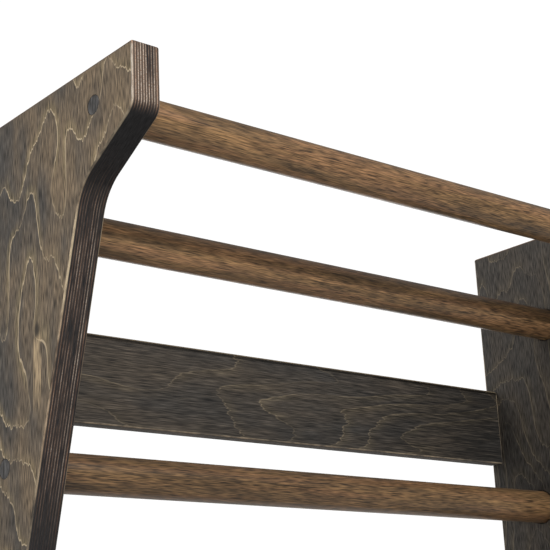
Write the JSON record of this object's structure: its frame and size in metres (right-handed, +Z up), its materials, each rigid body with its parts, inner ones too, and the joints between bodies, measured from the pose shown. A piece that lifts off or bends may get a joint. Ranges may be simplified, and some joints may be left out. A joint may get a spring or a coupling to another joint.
{
  "type": "wall bars",
  "caption": "Tall wall bars: two dark-stained plywood side panels with forward heads, a pull-up bar, a high bar, round rungs and two wall boards.",
  "frame": {"origin": "on the floor, midway between the panels and midway between the wall face and the nose of the heads", "axes": "+Z up along the panels, +Y towards the wall, so the front with the pull-up bar faces -Y, +X along the bars to the right as seen from the front"},
  "size_m": [0.759, 0.2816, 2.2],
  "materials": {
    "panel_ply": "dark grey-brown stain on birch plywood, matt lacquer, ply lines on the edges",
    "board_ply": "dark grey-brown stain on birch plywood, matt lacquer, grain along the board",
    "bar_wood": "warm brown stain on birch, satin lacquer, grain along the bar",
    "plug_wood": "dark brown stain, matt lacquer",
    "screw_steel": "zinc-plated steel"
  },
  "bodies": {
    "root": {"high_bar": "bar_wood", "left_side_panel": "panel_ply", "lower_wall_board": "board_ply", "lower_wall_board_lower_plug_left": "plug_wood", "lower_wall_board_lower_plug_right": "plug_wood", "lower_wall_board_lower_screw_left": "screw_steel", "lower_wall_board_lower_screw_right": "screw_steel", "lower_wall_board_upper_plug_left": "plug_wood", "lower_wall_board_upper_plug_right": "plug_wood", "lower_wall_board_upper_screw_left": "screw_steel", "lower_wall_board_upper_screw_right": "screw_steel", "pull_up_bar": "bar_wood", "pull_up_bar_plug_left": "plug_wood", "pull_up_bar_plug_right": "plug_wood", "pull_up_bar_screw_left": "screw_steel", "pull_up_bar_screw_right": "screw_steel", "right_side_panel": "panel_ply", "rung_01": "bar_wood", "rung_01_plug_left": "plug_wood", "rung_01_plug_right": "plug_wood", "rung_01_screw_left": "screw_steel", "rung_01_screw_right": "screw_steel", "rung_02": "bar_wood", "rung_03": "bar_wood", "rung_04": "bar_wood", "rung_05": "bar_wood", "rung_06": "bar_wood", "rung_06_plug_left": "plug_wood", "rung_06_plug_right": "plug_wood", "rung_06_screw_left": "screw_steel", "rung_06_screw_right": "screw_steel", "rung_07": "bar_wood", "rung_08": "bar_wood", "rung_09": "bar_wood", "rung_10": "bar_wood", "rung_11": "bar_wood", "rung_11_plug_left": "plug_wood", "rung_11_plug_right": "plug_wood", "rung_11_screw_left": "screw_steel", "rung_11_screw_right": "screw_steel", "upper_wall_board": "board_ply", "upper_wall_board_lower_plug_left": "plug_wood", "upper_wall_board_lower_plug_right": "plug_wood", "upper_wall_board_lower_screw_left": "screw_steel", "upper_wall_board_lower_screw_right": "screw_steel", "upper_wall_board_upper_plug_left": "plug_wood", "upper_wall_board_upper_plug_right": "plug_wood", "upper_wall_board_upper_screw_left": "screw_steel", "upper_wall_board_upper_screw_right": "screw_steel"}
  },
  "joints": []
}
